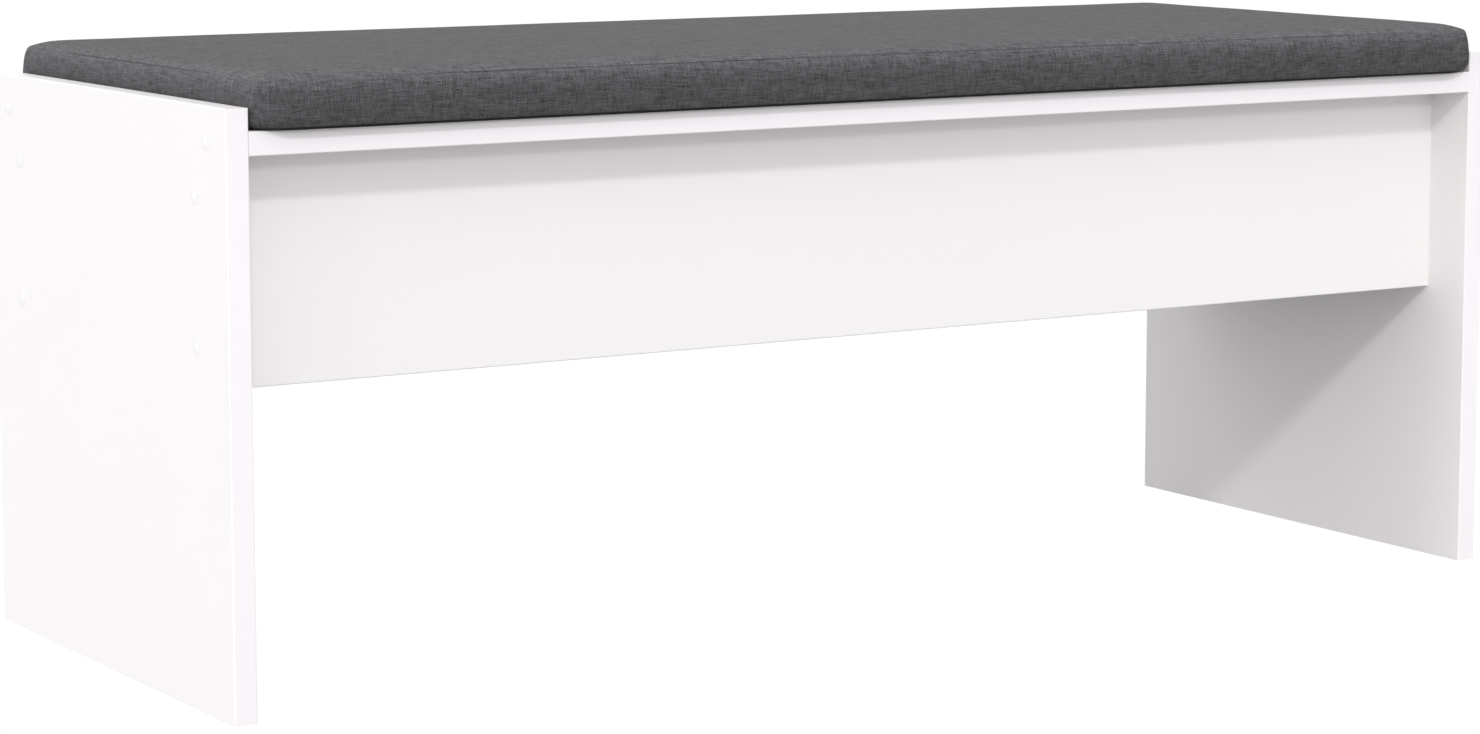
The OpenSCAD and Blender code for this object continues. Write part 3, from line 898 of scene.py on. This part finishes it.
for number in range(int((2 * zip_half.x - 2 * COIL_END_GAP) / COIL_PITCH)):
    x = zip_low.x + COIL_END_GAP + number * COIL_PITCH
    copied = bmesh.ops.duplicate(zip_strip, geom=bar)["geom"]
    bmesh.ops.translate(zip_strip, verts=verts_in(copied),
                        vec=(x, back_of_band(x, zip_middle.z) + COIL_PROUD,
                             zip_middle.z + COIL_STAGGER * (-1) ** number))
bmesh.ops.delete(zip_strip, geom=verts_in(bar), context="VERTS")
coil_zip = object_of("coil_zip", zip_strip)

zip_tape, tree = new_material("woven_zip_tape")
axes = add(tree, "ShaderNodeSeparateXYZ", {0: place_on_piece(tree)})
laid = add(tree, "ShaderNodeCombineXYZ", {0: axes.outputs["X"], 1: axes.outputs["Z"]})
shifted = add(tree, "ShaderNodeVectorMath", {0: laid.outputs[0], 1: (WEAVE_START, 0.0, 0.0)},
              operation="ADD")
weave = add(tree, "ShaderNodeGroup", {"Place": shifted.outputs[0], "Pitch": TAPE_YARN,
                                      "Slub Length": TAPE_SLUB}, node_tree=plain_weave)
from_middle = calc(tree, "ABSOLUTE", calc(tree, "SUBTRACT", axes.outputs["Z"], zip_middle.z))
from_line = calc(tree, "ABSOLUTE", calc(tree, "SUBTRACT", from_middle,
                                        zip_half.z - STITCH_INSET))
along = calc(tree, "FRACT", calc(tree, "DIVIDE", calc(tree, "ADD", axes.outputs["X"],
                                                      WEAVE_START), STITCH_PITCH))
thread = calc(tree, "MULTIPLY", calc(tree, "LESS_THAN", from_line, THREAD_HALF),
              calc(tree, "LESS_THAN", along, STITCH_SHARE_OF_PITCH))
yarn = mix_colours(tree, weave.outputs["Yarn"], TAPE_DARK, TAPE_LIGHT)
woven = calc(tree, "MULTIPLY", weave.outputs["Height"], WEAVE_SHARE_OF_DEPTH)
finish_material(tree, {
    "Base Color": mix_colours(tree, thread, yarn, THREAD_GREY),
    "Roughness": TAPE_ROUGHNESS,
    "Normal": bump(tree, calc(tree, "ADD", woven, thread), TAPE_DEPTH, TAPE_STRENGTH)})
nylon, tree = new_material("black_nylon_coil")
haze = add(tree, "ShaderNodeTexNoise", {"Vector": place_on_piece(tree), "Detail": 2.0,
                                        "Scale": COIL_HAZE_SCALE}).outputs["Fac"]
finish_material(tree, {
    "Base Color": mix_colours(tree, haze, COIL_DARK, COIL_LIGHT),
    "Roughness": spread(tree, haze, *COIL_ROUGHNESS)})
coil_zip.data.materials.append(zip_tape)
coil_zip.data.materials.append(nylon)
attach(coil_zip, "cushion")
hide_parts("cushion_zip")

# Zip slider
# Die-cast zinc, run to the closed right-hand end: a plate over the coil with a rail down each
# side, a low bridge, and a flat pull tab that hooks under the bridge and lies along the zip.
OBLONG_POINTS = 32
PLATE_LENGTH = 0.009
PLATE_THICKNESS = 0.0005
PLATE_ROUND = 0.00018
PLATE_SQUARENESS = 0.62
RAIL = (0.0066, 0.0008, 0.0008)
RAIL_LIFT = 0.0001
RAIL_ROUND = 0.0002
BRIDGE_SPAN = 0.0026
BRIDGE_WIRE = 0.0004
BRIDGE_WIRE_POINTS = 8
BRIDGE_STEPS = 14
BRIDGE_RISE = 0.37
BRIDGE_WIDER = 1.6
BRIDGE_SINK = 0.0001
TAB_THICKNESS = 0.00042
TAB_ROUND = 0.00010
TAB_WIDTH = 0.0040
TAB_SQUARENESS = 0.45
TAB_LIFT = 0.0001
TAB_UNDER_BRIDGE = 0.35
TAB_HOOK = (0.0052, 0.0021)
TAB_HOOK_SQUARENESS = 0.55
TAB_HOOK_END = 0.0009
SLIDER_SPANGLE = 0.0006

slider_low, slider_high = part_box("cushion_zip_slider")
slider_middle = (slider_low + slider_high) / 2
plate_x = slider_high.x - PLATE_LENGTH / 2
plate_half_z = (slider_high.z - slider_low.z) / 2


def oblong(mesh, middle_x, length, width, y, squareness):
    """A loop of edges shaped as a rounded oblong, lying in a plane of constant y."""
    loop = bmesh.ops.create_circle(mesh, cap_ends=False, segments=OBLONG_POINTS,
                                   radius=1.0)["verts"]
    for vert in loop:
        across, up = vert.co.x, vert.co.y
        vert.co = (middle_x + math.copysign(abs(across) ** squareness, across) * length / 2, y,
                   slider_middle.z + math.copysign(abs(up) ** squareness, up) * width / 2)
    return [e for e in mesh.edges if e.verts[0] in loop and e.verts[1] in loop]


def thicken(mesh, faces, depth, edge_round):
    """Gives a flat plate its thickness away from the cushion, and rounds its outer edge."""
    raised = bmesh.ops.extrude_face_region(mesh, geom=faces)["geom"]
    bmesh.ops.translate(mesh, verts=verts_in(raised), vec=(0, depth, 0))
    top = set(faces_in(raised))
    rim = [e for e in mesh.edges if sum(f in top for f in e.link_faces) == 1]
    round_edges(mesh, rim, edge_round, 2)


slider = bmesh.new()
plate_edges = oblong(slider, plate_x, PLATE_LENGTH, 2 * plate_half_z, slider_low.y,
                     PLATE_SQUARENESS)
plate = bmesh.ops.contextual_create(slider, geom=plate_edges)["faces"]
thicken(slider, plate, PLATE_THICKNESS, PLATE_ROUND)
for side in (-1, 1):
    before = set(slider.verts)
    rail = bmesh.ops.create_cube(slider, size=1.0)["verts"]
    bmesh.ops.scale(slider, verts=rail, vec=RAIL)
    bmesh.ops.translate(slider, verts=rail, vec=(
        plate_x, slider_low.y + RAIL_LIFT,
        slider_middle.z + side * (plate_half_z - RAIL[2] / 2)))
    round_edges(slider, [e for e in slider.edges if e.verts[0] not in before], RAIL_ROUND, 2)
before = set(slider.verts)
wire = bmesh.ops.create_circle(slider, cap_ends=False, segments=BRIDGE_WIRE_POINTS,
                               radius=BRIDGE_WIRE)["verts"]
bmesh.ops.rotate(slider, verts=wire, matrix=Matrix.Rotation(math.pi / 2, 3, "X"))
bmesh.ops.translate(slider, verts=wire, vec=(-BRIDGE_SPAN, 0, 0))
wire_edges = [e for e in slider.edges if e.verts[0] not in before]
bmesh.ops.spin(slider, geom=wire + wire_edges, cent=(0, 0, 0), axis=(0, 0, 1), dvec=(0, 0, 0),
               angle=-math.pi, steps=BRIDGE_STEPS, use_merge=False, use_duplicate=False)
plate_top = slider_low.y + PLATE_THICKNESS
for vert in slider.verts:
    if vert not in before:
        vert.co = (plate_x + vert.co.x, plate_top - BRIDGE_SINK + vert.co.y * BRIDGE_RISE,
                   slider_middle.z + vert.co.z * BRIDGE_WIDER)
tab_y = plate_top + TAB_LIFT
tab_high = plate_x - BRIDGE_SPAN * TAB_UNDER_BRIDGE
tab_middle = (slider_low.x + tab_high) / 2
outside = oblong(slider, tab_middle, tab_high - slider_low.x, TAB_WIDTH, tab_y, TAB_SQUARENESS)
inside = oblong(slider, tab_high - TAB_HOOK_END - TAB_HOOK[0] / 2, *TAB_HOOK, tab_y,
                TAB_HOOK_SQUARENESS)
tab = bmesh.ops.bridge_loops(slider, edges=outside + inside)["faces"]
thicken(slider, tab, TAB_THICKNESS, TAB_ROUND)
bmesh.ops.recalc_face_normals(slider, faces=slider.faces)
zip_slider = object_of("zip_slider", slider)
cast_zinc, tree = new_material("nickel_plated_zinc")
surface = add(tree, "ShaderNodeGroup", {"Spangle Size": SLIDER_SPANGLE}, node_tree=zinc_surface)
finish_material(tree, {
    "Base Color": surface.outputs["Colour"],
    "Metallic": 1.0,
    "Roughness": surface.outputs["Roughness"]})
zip_slider.data.materials.append(cast_zinc)
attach(zip_slider, "cushion")
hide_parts("cushion_zip_slider")
